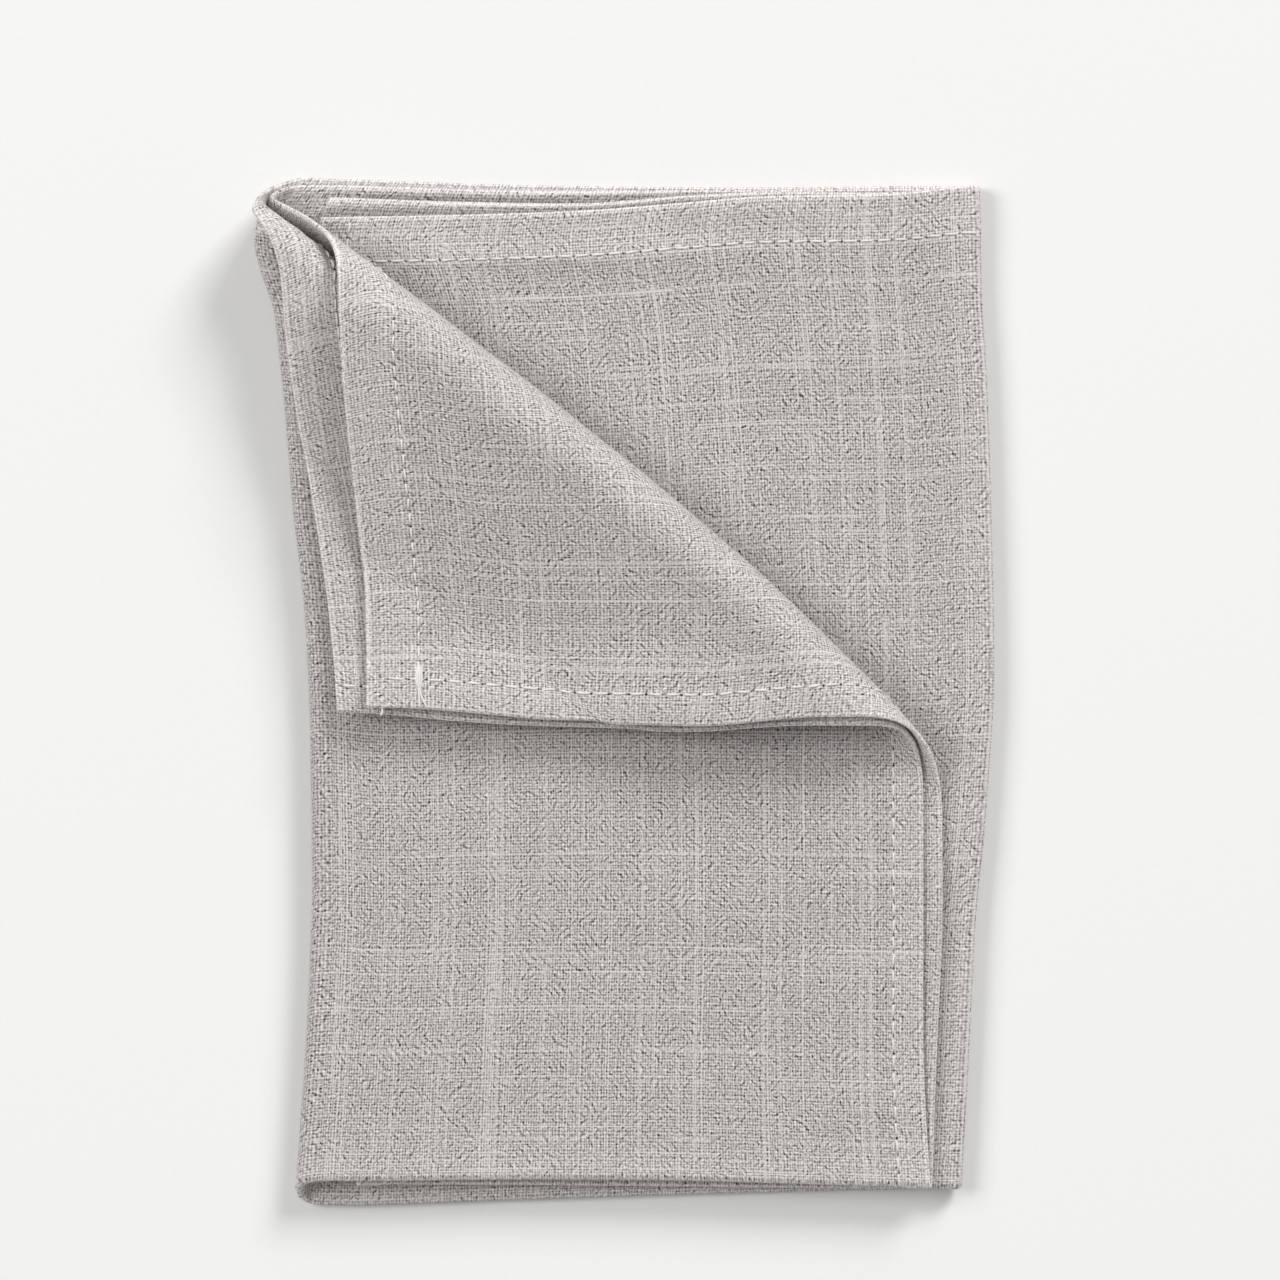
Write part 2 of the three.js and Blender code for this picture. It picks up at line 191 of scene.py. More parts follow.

# Soft ridges and troughs, listed as they lie before the corner is turned
# Columns: third, x and y at the start, x and y at the end, width and height
RIDGES = (
    ("middle", 30.0, 47.0, 76.0, 62.5, 5.0, 0.35),
    ("middle", -40.0, 94.6, 38.0, 96.0, 3.4, 0.75),
    ("middle", 12.0, 106.0, 46.0, 105.2, 3.0, 0.50),
    ("middle", 20.0, 70.0, 78.0, 76.0, 6.5, 0.25),
    ("middle", 34.0, 30.0, 78.0, 34.0, 7.0, -0.25),
    ("top", 34.0, -97.0, 60.0, -88.0, 5.0, 0.35),
    ("top", -50.0, -20.0, -44.0, -100.0, 9.0, 0.30),
    ("top", -30.0, -52.0, 50.0, -47.0, 7.0, 0.22),
    ("top", -10.0, -78.0, 52.0, -72.0, 7.0, -0.25),
    ("top", 0.0, -32.0, 54.0, -26.0, 6.0, -0.20),
)
RIDGE_FADE_IN = (-0.15, 0.25)
RIDGE_FADE_OUT = (0.75, 1.15)

# Mesh bands: from, to and the widest step
HALF_FOLD_STEP = 0.3
V_BANDS = (
    (0.0, 1.2, 0.4),
    (1.2, 13.2, 1.0),
    (13.2, STRAIGHT_LENGTH, 2.8),
)
U_BANDS = (
    (0.0, 1.2, 0.4),
    (1.2, 10.0, 1.1),
    (10.0, RIGHT_FOLD_FROM, 2.2),
    (RIGHT_FOLD_FROM, RIGHT_FOLD_TO, 0.5),
    (RIGHT_FOLD_TO, LEFT_FOLD_FROM, 10.0),
    (LEFT_FOLD_FROM, LEFT_FOLD_TO, 0.75),
    (LEFT_FOLD_TO, 440.0, 1.16),
    (440.0, 448.8, 0.9),
    (448.8, CLOTH_SIDE, 0.4),
)
NORMAL_STEP = 0.02

# Map for baking: the outer face, the rim and the inner face side by side
BAKE_OUTER = (0.004, 0.492)
BAKE_RIM = (0.4965, 0.5035)
BAKE_INNER = (0.508, 0.996)
BAKE_DOWN = (0.004, 0.996)

# Hem stitching
STITCH_PITCH = 3.8
STITCH_LENGTH = 2.8
THREAD_RADIUS = 0.23
THREAD_SIDES = 6
STITCH_HEIGHTS = (-0.20, 0.17, 0.22, 0.17, -0.20)
STITCH_WANDER = 0.16
STITCH_SEED = 5
STITCH_MARGIN = 1.0

# Backstitched end of the seam and its loose thread ends, in cloth coordinates at the flap's corner
TACK_STRANDS = ((-0.62, 0.10), (-0.22, 0.30), (0.20, 0.34), (0.58, 0.12))
TACK_FROM = 438.8
TACK_TO = 445.6
TACK_POINTS = 9
TACK_REST = 0.05
TACK_SUNK = -0.2

# Loose thread ends at the backstitches, one straight and one curled
# Columns: off the seam and its change to the tip, height and its change to the tip, and the curl's power
THREAD_ENDS = ((0.1, -0.3, 0.12, 0.05, 1), (-0.2, -1.7, 0.14, 0.06, 2))
THREAD_END_POINTS = 8
THREAD_END_FROM = TACK_TO - 1.2
THREAD_END_TO = CLOTH_SIDE - 0.3

# Thread end that hangs out of the flap's corner
TAIL_POINTS = 5
TAIL_INSIDE = 2.0
TAIL_FROM_TOP = 3.1
TAIL_HEIGHT = 0.1
TAIL_STEP = 0.42
TAIL_SWAY = 0.25
TAIL_SWAY_RATE = 0.8
TAIL_DROOP = 0.03
TAIL_RADIUS = 0.8 * THREAD_RADIUS

# Slub weave: yarn pitch, how unevenly the yarns run, and the dark lines between them
# Each sway and wander has a rate and a reach, and each line depth a spread and a least value
WARP_PITCH = 0.66
WEFT_PITCH = 0.72
OVER_UNDER_SCALE = 1.9
SLOW_SWAY = (1.3, 0.10)
QUICK_SWAY = (3.1, 0.08)
WANDER = (0.9, 0.30)
WARP_START = 3.3
WEFT_START = 57.1
WARP_LINE_DEPTH = (0.60, 0.70)
WEFT_LINE_DEPTH = (0.51, 0.60)
WARP_LINE_SEED = 31.0
WEFT_LINE_SEED = 77.0
GAP_SEED = 57.0

# Pale yarns that run straight through the weave, each shown along part of its length
# Warp and weft each have a seed and the noise value where a yarn starts to show
LIGHT_YARN_WIDTH = 0.22
LIGHT_YARN_SHARE = 0.065
LIGHT_WARP = (17.0, 0.28)
LIGHT_WEFT = (29.0, 0.46)
LIGHT_YARN_FADE = 0.12
LIGHT_YARN_APART = 5.7
LIGHT_YARN_STRETCH = 0.05

# Washed crinkle: rows of short creases on both diagonals
# Each bend has its rate across, its rate down and its reach
CRINKLE_SPACING = 1.45
CRINKLE_LENGTH = 2.5
CRINKLE_ANGLE = 0.78
CRINKLE_SHARPNESS = 6.0
CRINKLE_MEAN = 0.31
CRINKLE_BEND_SLOW = (0.55, 0.8, 0.30)
CRINKLE_BEND_QUICK = (1.1, -0.45, 0.22)
CRINKLE_PATCH_SCALE = 0.14
CRINKLE_PATCH_EDGE = (0.38, 0.58)
CRINKLE_DEPTH = (0.10, 0.90)
CRINKLE_ROW_SEED = 5.0
CRINKLE_ROW_START = 9.0

# Needle holes, hem band and the painted highlight along each hem edge
NEEDLE_HOLE = (0.04, 0.20)
HEM_BAND_FADE = 1.5
HEM_EDGE_HIGHLIGHT_REACH = (0.2, 1.3)

# Warm grey cotton: how each part of the weave lightens or darkens it, with painted shade in the creases and
# painted highlights on the folds, the roll's crest and the hem edges
SHADE_COLOUR = (0.018, 0.016, 0.015, 1.0)
YARN_COLOUR = (0.905, 0.856, 0.830, 1.0)
BASE_LIGHT = 0.450
OVER_UNDER_LIGHT = 0.58
LINES_LIGHT = -0.245
GAPS_LIGHT = -0.23
# Painted shade in the crinkle's creases and painted light on their sides
CREASE_PAINTED_SHADE = -0.42
LIGHT_YARN_COVER = 0.7
LIGHT_YARN_LIGHT = 0.80
# Painted highlight on the right fold, the half fold and the roll's crest
PAINTED_FOLD_HIGHLIGHT = 0.07
HEM_BAND_LIGHT = 0.05
# Painted highlight along the hem edges
PAINTED_HEM_EDGE_HIGHLIGHT = 0.16
NEEDLE_HOLE_LIGHT = -0.32
CREASE_BUMP = 0.00010
COTTON_ROUGHNESS = 0.93
LIGHT_YARN_SMOOTHER = -0.06
COTTON_SPECULAR = 0.25
COTTON_SHEEN = 0.7
COTTON_SHEEN_ROUGHNESS = 0.35
COTTON_SHEEN_TINT = (1.0, 0.985, 0.97, 1.0)

# Sewing thread
THREAD_DARK = (0.60, 0.58, 0.56, 1.0)
THREAD_PALE = (0.88, 0.86, 0.84, 1.0)
THREAD_TWIST = 1.9
THREAD_FIBRE_SCALE = 6.0
THREAD_BASE_LIGHT = 0.3
THREAD_FIBRE_LIGHT = 0.5
THREAD_PLY_LIGHT = 0.35
THREAD_BUMP_STRENGTH = 0.5
THREAD_BUMP = 0.00008
THREAD_ROUGHNESS = 0.75
THREAD_SHEEN = 0.15

# Floor
FLOOR_HALF_SIDE = 3000.0
FLOOR_DARK = (0.855, 0.855, 0.842, 1.0)
FLOOR_PALE = (0.885, 0.885, 0.872, 1.0)
FLOOR_TOOTH_SCALE = 900.0
FLOOR_ROUGHNESS = 0.9
FLOOR_SPECULAR = 0.2

# Clearance that keeps the stitches of the underside above the floor
GROUND_CLEARANCE = 0.42

# Camera and light
PHOTO_SIZE = 1280
PHOTO_SCALE = 0.2206
PHOTO_ORIGIN = (624.0, 692.0)
CAMERA_HEIGHT = 1.6
SENSOR_WIDTH = 36.0
SURROUND_COLOUR = (1.0, 0.995, 0.985, 1.0)
SURROUND_STRENGTH = 0.36

# Softboxes: name, place and size in metres, and power in watts
SOFTBOXES = (
    ("upper_right_softbox", (2.50, 3.75, 3.00), 1.9, 193.0),
    ("left_softbox", (-3.67, 1.12, 3.67), 2.4, 137.0),
)


def column(rows, names, name):
    """One named column of a table."""
    return np.array([row[names.index(name)] for row in rows], float)


def table_curve(rows, names, along, value):
    """Smooth curve through one column of a table, as a function of another column."""
    places = column(rows, names, along)
    values = column(rows, names, value)
    last = len(places) - 1
    before = np.maximum(np.arange(last + 1) - 1, 0)
    after = np.minimum(np.arange(last + 1) + 1, last)
    slopes = (values[after] - values[before]) / (places[after] - places[before])

    def curve(place):
        p = np.clip(place, places[0], places[last])
        i = np.clip(np.searchsorted(places, p, side="left") - 1, 0, last - 1)
        width = places[i + 1] - places[i]
        t = (p - places[i]) / width
        rise = t * t * (3 - 2 * t)
        bend_in = t * (1 - t) * (1 - t) * width * slopes[i]
        bend_out = t * t * (t - 1) * width * slopes[i + 1]
        return values[i] + (values[i + 1] - values[i]) * rise + bend_in + bend_out

    return curve


left_fold_at = table_curve(SECTIONS, SECTION_COLUMNS, "y", "left_fold")
right_fold_at = table_curve(SECTIONS, SECTION_COLUMNS, "y", "right_fold")
outer_hem_at = table_curve(SECTIONS, SECTION_COLUMNS, "y", "outer_hem")
inner_hem_at = table_curve(SECTIONS, SECTION_COLUMNS, "y", "inner_hem")
outer_top_at = table_curve(EDGES, EDGE_COLUMNS, "u", "outer_top")
inner_top_at = table_curve(EDGES, EDGE_COLUMNS, "u", "inner_top")
bottom_at = table_curve(EDGES, EDGE_COLUMNS, "u", "bottom")


def blend(start, end, share):
    return start + (end - start) * share


def smooth(value, low, high):
    """0 below low, 1 above high, and a soft rise between."""
    t = np.clip((value - low) / (high - low), 0, 1)
    return t * t * (3 - 2 * t)


def half_fold(u, v):
    """How far up the napkin a cloth point lies, and on which side of its pair of layers."""
    on_outer = v < HALF_LENGTH
    straight = np.minimum(np.where(on_outer, v, CLOTH_SIDE - v), STRAIGHT_LENGTH)
    angle = np.clip((v - STRAIGHT_LENGTH) / HALF_FOLD_RADIUS, 0, math.pi)
    top = np.where(on_outer, outer_top_at(u), inner_top_at(u))
    fold_start = bottom_at(u) + SOLID_THICK / 2 + HALF_FOLD_RADIUS
    y = blend(top, fold_start, straight / STRAIGHT_LENGTH) - HALF_FOLD_RADIUS * np.sin(angle)
    return y, np.cos(angle)


def section_lines(y, side):
    """Middles of the two folds and the side hem of the top third, at one height up the napkin."""
    left = left_fold_at(y) + FOLD_RIM + LEFT_FOLD_RADIUS
    right = right_fold_at(y) - FOLD_RIM - RIGHT_FOLD_RADIUS
    hem = blend(inner_hem_at(y), outer_hem_at(y), (1 + side) / 2)
    return left, right, hem


def letter_fold(u, y, side):
    """Place of a cloth point in its section, and how much of the corner's turn it takes."""
    left, right, hem = section_lines(y, side)
    offset = side * HALF_PITCH
    right_angle = (u - RIGHT_FOLD_FROM) / RIGHT_FOLD_RADIUS
    left_angle = (u - LEFT_FOLD_FROM) / LEFT_FOLD_RADIUS
    base_share = (u - RIGHT_FOLD_TO) / (LEFT_FOLD_FROM - RIGHT_FOLD_TO)
    top_share = (u - LEFT_FOLD_TO) / (CLOTH_SIDE - LEFT_FOLD_TO)
    zones = [u < RIGHT_FOLD_FROM, u < RIGHT_FOLD_TO, u < LEFT_FOLD_FROM, u < LEFT_FOLD_TO]
    x = np.select(
        zones,
        [
            blend(left + HIDDEN_HEM_INSET, right, u / RIGHT_FOLD_FROM),
            right + (RIGHT_FOLD_RADIUS + offset) * np.sin(right_angle),
            blend(right, left, base_share),
            left - (LEFT_FOLD_RADIUS + offset) * np.sin(left_angle),
        ],
        blend(left, hem, top_share),
    )
    right_middle = MIDDLE_MID - RIGHT_FOLD_RADIUS
    left_middle = BASE_MID + LEFT_FOLD_RADIUS
    z = np.select(
        zones,
        [
            MIDDLE_MID + offset,
            right_middle + (RIGHT_FOLD_RADIUS + offset) * np.cos(right_angle),
            BASE_MID - offset,
            left_middle - (LEFT_FOLD_RADIUS + offset) * np.cos(left_angle),
        ],
        TOP_MID + offset,
    )
    none = np.zeros_like(u)
    turn_share = np.select(zones, [none, none, none, (1 - np.cos(left_angle)) / 2], none + 1)
    return x, z, turn_share


def crease_at(along):
    """Distance of the crease from the napkin's middle, at a place along it."""
    share = np.clip(along / CREASE_HALF_LENGTH, *CREASE_REACH)
    return CREASE_OFFSET + (CREASE_BOW + CREASE_SWAY * share) * (1 - share * share)


def roll_at(along):
    """Radius of the roll, and how far its two layers part as they go round it."""
    share = np.clip((along / CREASE_HALF_LENGTH + 1) / 2, 0, 1)
    radius = blend(ROLL_RADIUS_UPPER_LEFT, ROLL_RADIUS_LOWER_RIGHT, share)
    spread = blend(ROLL_SPREAD_LOWER_RIGHT, ROLL_SPREAD_UPPER_LEFT, (1 - share) ** 2)
    return radius, spread


def roll_section(length, along, side):
    """Where a point this far past the crease comes to lie, across and up."""
    radius, layer_spread = roll_at(along)
    start_radius = radius - side * HALF_PITCH
    spread = side * layer_spread
    end_radius = start_radius - spread
    arc_length = (start_radius + end_radius) / 2 * ROLL_TURN
    on_arc = np.minimum(length, arc_length)
    narrowing = 2 * spread * on_arc / ROLL_TURN
    angle = 2 * on_arc / (start_radius + np.sqrt(start_radius * start_radius - narrowing))
    point_radius = start_radius - spread * angle / ROLL_TURN
    sin = math.sin(ROLL_LEAN)
    cos = math.cos(ROLL_LEAN)
    slope_across = -end_radius * sin
    slope_up = radius + end_radius * cos
    flap_height = 2 * LAYER_PITCH + FLAP_LIFT - side * HALF_PITCH
    drop = slope_up - flap_height - SETTLE_RADIUS * (1 - cos)
    slope_length = drop / sin
    past = length - arc_length
    on_slope = np.minimum(past, slope_length)
    bend = np.clip((past - slope_length) / SETTLE_RADIUS, 0, ROLL_LEAN)
    flat = np.maximum(past - slope_length - SETTLE_RADIUS * ROLL_LEAN, 0)
    settled = SETTLE_RADIUS * (sin - np.sin(ROLL_LEAN - bend))
    sunk = SETTLE_RADIUS * (np.cos(ROLL_LEAN - bend) - cos)
    rolling = length <= arc_length
    across = np.where(
        rolling,
        point_radius * np.sin(angle),
        slope_across - on_slope * cos - settled - flat,
    )
    up = np.where(rolling, radius - point_radius * np.cos(angle), slope_up - on_slope * sin - sunk)
    return across, up


def corner_turn(x, y, side):
    """Move of a point of the top third when the corner is turned back."""
    along = x * ALONG[0] + y * ALONG[1]
    past = x * ACROSS[0] + y * ACROSS[1] - crease_at(along)
    turned = past > 0
    length = np.maximum(past, 0)
    across, up = roll_section(length, along, side)
    slide = FLAP_SKEW * length
    pull = across - length
    return np.stack(
        [
            np.where(turned, slide * ALONG[0] + pull * ACROSS[0], 0),
            np.where(turned, slide * ALONG[1] + pull * ACROSS[1], 0),
            np.where(turned, up - side * HALF_PITCH, 0),
        ],
        axis=-1,
    )


def cloth_point(u, v):
    """Middle of the sheet at cloth points."""
    y, side = half_fold(u, v)
    x, z, turn_share = letter_fold(u, y, side)
    return np.stack([x, y, z], axis=-1) + corner_turn(x, y, side) * turn_share[..., None]


def cloth_normal(u, v):
    u_to = np.minimum(u + NORMAL_STEP, CLOTH_SIDE)
    u_from = np.maximum(u - NORMAL_STEP, 0)
    v_to = np.minimum(v + NORMAL_STEP, CLOTH_SIDE)
    v_from = np.maximum(v - NORMAL_STEP, 0)
    along_u = cloth_point(u_to, v) - cloth_point(u_from, v)
    along_v = cloth_point(u, v_to) - cloth_point(u, v_from)
    normal = np.cross(along_u, along_v)
    return normal / np.linalg.norm(normal, axis=-1, keepdims=True)


def swell(x, y):
    """Slow unevenness of cloth that has been folded and put down by hand."""
    draw = np.random.default_rng(SWELL_SEED)
    height = np.zeros_like(x)
    for _ in range(SWELL_WAVES):
        length = draw.uniform(*SWELL_LENGTHS)
        heading = draw.uniform(0, math.pi)
        start = draw.uniform(0, 2 * math.pi)
        turns = 2 * math.pi / length
        height += np.sin((x * math.cos(heading) + y * math.sin(heading)) * turns + start)
    return SWELL_HEIGHT * height / math.sqrt(SWELL_WAVES / 2)


def ridge(x, y, row):
    """One soft ridge or trough along a line, fading at its ends."""
    _, x_from, y_from, x_to, y_to, width, height = row
    run = np.array((x_to - x_from, y_to - y_from))
    length = np.linalg.norm(run)
    run = run / length
    along = ((x - x_from) * run[0] + (y - y_from) * run[1]) / length
    across = (x - x_from) * -run[1] + (y - y_from) * run[0]
    ends = smooth(along, *RIDGE_FADE_IN) * (1 - smooth(along, *RIDGE_FADE_OUT))
    return height * np.exp(-((across / width) ** 2)) * ends


def past_crease(x, y):
    """Distance of a place beyond the line where the corner turns back."""
    return x * ACROSS[0] + y * ACROSS[1] - crease_at(x * ALONG[0] + y * ALONG[1])


def fan_out(x, y, from_top):
    """Lift of the middle third's loose ends at the top edge, beside the roll."""
    clear = smooth(past_crease(x, y), *FAN_CLEAR_OF_ROLL)
    near_top = 1 - smooth(from_top, 0, FAN_LENGTH)
    return FAN_LIFT * near_top * clear * (1 - smooth(x, *FAN_FADE_X))


def hem_lip(showing, from_edge):
    """Height of the rounded lip of a hem, from the width that shows past the layer above it."""
    showing = np.maximum(showing, LIP_LEAST_SHOWING)
    height = np.minimum(LIP_SLOPE * showing, LIP_HEIGHT)
    return height * np.exp(-(((from_edge / showing - LIP_PLACE) / LIP_WIDTH) ** 2))


def top_edge_lips(u, side, from_top):
    """Lips of the inner layers of the middle third and of the base, at the top edge."""
    inner = (1 - side) / 2
    middle = hem_lip(inner_top_at(u) - outer_top_at(u), from_top)
    base_share = (u - RIGHT_FOLD_TO) / (LEFT_FOLD_FROM - RIGHT_FOLD_TO)
    above = np.clip(RIGHT_FOLD_FROM * (1 - base_share), 0, RIGHT_FOLD_FROM)
    base = hem_lip(inner_top_at(u) - inner_top_at(above), from_top)
    in_base = smooth(base_share, 0, BASE_LIP_ENDS) * (1 - smooth(base_share, 1 - BASE_LIP_ENDS, 1))
    return (middle * (u < RIGHT_FOLD_FROM) - base * in_base) * inner


def side_hem_lip(x, y, side, from_side):
    """Lip of the top third's inner layer, where it shows past the side hem of the outer one."""
    not_turned = 1 - smooth(past_crease(x, y), *SIDE_LIP_ENDS_BEFORE_CREASE)
    showing = inner_hem_at(y) - outer_hem_at(y)
    return hem_lip(showing, from_side) * not_turned * (1 - side) / 2


def flap_hem_lift(x, y, side, from_side, from_top):
    """Lift of the turned corner's two free hems; it is turned over, so up is downwards here."""
    lift = blend(FLAP_HEM_LIFT_UPPER, FLAP_HEM_LIFT_LOWER, (1 + side) / 2)
    at_side_hem = 1 - smooth(from_side, 0, FLAP_HEM_LIFT_LENGTH)
    at_top_hem = LEFT_HEM_LIFT_SHARE * (1 - smooth(from_top, 0, FLAP_HEM_LIFT_LENGTH))
    turned = smooth(past_crease(x, y), *FLAP_HEM_LIFT_PAST_CREASE)
    return -lift * np.maximum(at_side_hem, at_top_hem) * turned


def relief(u, v):
    """Height of the loose ends and of the soft unevenness, above where the solid has the cloth."""
    y, side = half_fold(u, v)
    x, _, _ = letter_fold(u, y, side)
    from_side, from_top = hem_distances(u, v)
    middle = 1 - smooth(u, RIGHT_FOLD_FROM - SWELL_FADE, RIGHT_FOLD_FROM)
    top = smooth(u, LEFT_FOLD_TO, LEFT_FOLD_TO + SWELL_FADE)
    height = swell(x, y) * np.maximum(middle, top) + fan_out(x, y, from_top) * middle
    height += top_edge_lips(u, side, from_top)
    height += side_hem_lip(x, y, side, from_side) * top
    height += flap_hem_lift(x, y, side, from_side, from_top) * top
    for row in RIDGES:
        height += ridge(x, y, row) * (middle if row[0] == "middle" else top)
    return height * side


def fold_highlight(u, v):
    """Share of painted highlight along the right fold, the half fold and the crest of the roll, from 0 to
    1.
    """
    y, side = half_fold(u, v)
    x, _, _ = letter_fold(u, y, side)
    radius, _ = roll_at(x * ALONG[0] + y * ALONG[1])
    turned = past_crease(x, y) / radius
    on_roll = smooth(turned, *ROLL_HIGHLIGHT_FROM) * (1 - smooth(turned, *ROLL_HIGHLIGHT_TO))
    highlight_share = on_roll * (u > LEFT_FOLD_TO)
    for from_fold in (u - THIRD_WIDTH, v - HALF_LENGTH):
        highlight_share = np.maximum(highlight_share, np.exp(-((from_fold / FOLD_HIGHLIGHT_WIDTH) ** 2)))
    return highlight_share


def hem_distances(u, v):
    """Distance of a cloth point from the nearest side hem edge and the nearest top hem edge."""
    return np.minimum(u, CLOTH_SIDE - u), np.minimum(v, CLOTH_SIDE - v)


def face_offset(u, v, face):
    """Distance of one face of the sheet from its middle."""
    from_side, from_top = hem_distances(u, v)
    in_side_hem = 1 - smooth(from_side, SIDE_HEM_WIDTH - HEM_STEP_WIDTH, SIDE_HEM_WIDTH)
    in_top_hem = 1 - smooth(from_top, TOP_HEM_WIDTH - HEM_STEP_WIDTH, TOP_HEM_WIDTH)
    in_hem = np.maximum(in_side_hem, in_top_hem)
    off_side_line = from_side - SIDE_STITCH_AT
    off_top_line = from_top - TOP_STITCH_AT
    groove = np.maximum(
        np.exp(-((off_side_line / GROOVE_WIDTH) ** 2)),
        np.exp(-((off_top_line / GROOVE_WIDTH) ** 2)),
    )
    thick = CLOTH_THICK / 2 + in_hem * (HEM_INWARD if face == INNER_FACE else HEM_OUTWARD)
    from_edge = np.clip(np.minimum(from_side, from_top) / EDGE_ROUND, 0, 1)
    rounding = EDGE_THIN + (1 - EDGE_THIN) * np.sqrt(1 - (1 - from_edge) ** 2)
    return (thick - GROOVE_DEPTH * groove) * rounding


def uneven_wave(along, sway, sway_rate):
    """Wave along a seam that runs a little ahead and behind."""
    turns = 2 * math.pi / PUCKER_LENGTH
    return np.sin(along * turns + sway * np.sin(along * turns * sway_rate))


def pucker(u, v):
    """Small waves that the stitching pulls into the hems."""
    from_side, from_top = hem_distances(u, v)
    near_side = np.exp(-(((from_side - SIDE_STITCH_AT) / PUCKER_REACH) ** 2))
    near_top = np.exp(-(((from_top - TOP_STITCH_AT) / PUCKER_REACH) ** 2))
    along_side = uneven_wave(v, *PUCKER_UNEVEN_SIDE)
    along_top = uneven_wave(u, *PUCKER_UNEVEN_TOP)
    return PUCKER_HEIGHT * (near_side * along_side + near_top * along_top)


def face_point(u, v, face):
    """Point on one face of the sheet, with its outward normal."""
    normal = cloth_normal(u, v)
    shift = face * face_offset(u, v, face) - relief(u, v) - pucker(u, v)
    return cloth_point(u, v) + normal * shift[..., None], normal * face


def band_lines(bands):
    """Mesh lines of bands that follow each other."""
    lines = [np.array((bands[0][0],))]
    for start, end, step in bands:
        count = math.ceil((end - start) / step)
        lines.append(np.linspace(start, end, count + 1)[1:])
    return np.concatenate(lines)


def new_piece(name, points, faces, material):
    """Smooth mesh object from points in millimetres."""
    mesh = bpy.data.meshes.new(name)
    mesh.from_pydata((points * METRES).tolist(), [], faces)
    mesh.update()
    mesh.polygons.foreach_set("use_smooth", np.ones(len(mesh.polygons), bool))
    mesh.materials.append(material)
    piece = bpy.data.objects.new(name, mesh)
    bpy.context.scene.collection.objects.link(piece)
    return piece


def add_map(piece, name, places):
    """UV map from one place for each corner of the mesh."""
    layer = piece.data.uv_layers.new(name=name)
    layer.data.foreach_set("uv", np.asarray(places, np.float32).ravel())


def add_mask(piece, name, shares):
    """Share from 0 to 1 for each point of the mesh."""
    layer = piece.data.attributes.new(name, "FLOAT", "POINT")
    layer.data.foreach_set("value", np.asarray(shares, np.float32).ravel())


def cloth_to_box():
    """Move that puts the cloth where the solid is."""
    low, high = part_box("napkin")
    grid_u, grid_v = np.meshgrid(band_lines(U_BANDS), v_lines())
    points = cloth_point(grid_u, grid_v).reshape(-1, 3)
    middle = (points.min(axis=0) + points.max(axis=0)) / 2
    solid_middle = np.array(low + high) / 2 / METRES
    return np.array((solid_middle[0] - middle[0], solid_middle[1] - middle[1], GROUND_CLEARANCE))


def v_lines():
    """Mesh lines down the outer half, round the half fold and up the inner half."""
    outer = band_lines(V_BANDS)
    fold = np.arange(HALF_FOLD_STEP, math.pi * HALF_FOLD_RADIUS, HALF_FOLD_STEP)
    return np.concatenate([outer, STRAIGHT_LENGTH + fold, CLOTH_SIDE - outer[::-1]])


def build_cloth(material, shift):
    """The sheet: a face on each side of the cloth, joined by a rim along its four hems."""
    u_at = band_lines(U_BANDS)
    v_at = v_lines()
    grid_u, grid_v = np.meshgrid(u_at, v_at)
    sides = [face_point(grid_u, grid_v, face)[0].reshape(-1, 3) for face in (INNER_FACE, OUTER_FACE)]
    points = np.concatenate(sides) + shift
    rows, columns = grid_u.shape
    count = rows * columns
    index = np.arange(count).reshape(rows, columns)
    cells = np.stack([index[:-1, :-1], index[:-1, 1:], index[1:, 1:], index[1:, :-1]], axis=-1)
    inner_faces = cells.reshape(-1, 4)
    outer_faces = inner_faces[:, ::-1] + count
    ring = np.concatenate([index[0, :-1], index[:-1, -1], index[-1, :0:-1], index[:0:-1, 0]])
    ahead = np.roll(ring, -1)
    rim_faces = np.stack([ring, ring + count, ahead + count, ahead], axis=-1)
    faces = np.concatenate([inner_faces, outer_faces, rim_faces])
    napkin = new_piece("napkin_cloth", points, faces.tolist(), material)
    cloth_places = np.stack([grid_u, grid_v], axis=-1).reshape(-1, 2) / CLOTH_SIDE
    both_sides = np.concatenate([cloth_places, cloth_places])
    add_map(napkin, "Cloth", both_sides[faces.ravel()])
    # Share of painted highlight along the folds and the roll's crest
    highlight_share = fold_highlight(grid_u, grid_v).ravel()
    add_mask(napkin, "Fold highlight", np.concatenate([highlight_share, highlight_share]))
    along_rim = np.linspace(*BAKE_DOWN, len(ring) + 1)
    rim_places = np.stack(
        [
            np.stack([np.full(len(ring), across), down], axis=-1)
            for across, down in (
                (BAKE_RIM[0], along_rim[:-1]),
                (BAKE_RIM[1], along_rim[:-1]),
                (BAKE_RIM[1], along_rim[1:]),
                (BAKE_RIM[0], along_rim[1:]),
            )
        ],
        axis=1,
    )
    face_places = []
    for face_list, across in ((inner_faces, BAKE_INNER), (outer_faces - count, BAKE_OUTER)):
        places = cloth_places[face_list.ravel()]
        map_across = blend(*across, places[:, 0])
        map_down = blend(*BAKE_DOWN, places[:, 1])
        face_places.append(np.stack([map_across, map_down], axis=-1))
    add_map(napkin, "OFBake", np.concatenate(face_places + [rim_places.reshape(-1, 2)]))
    return napkin


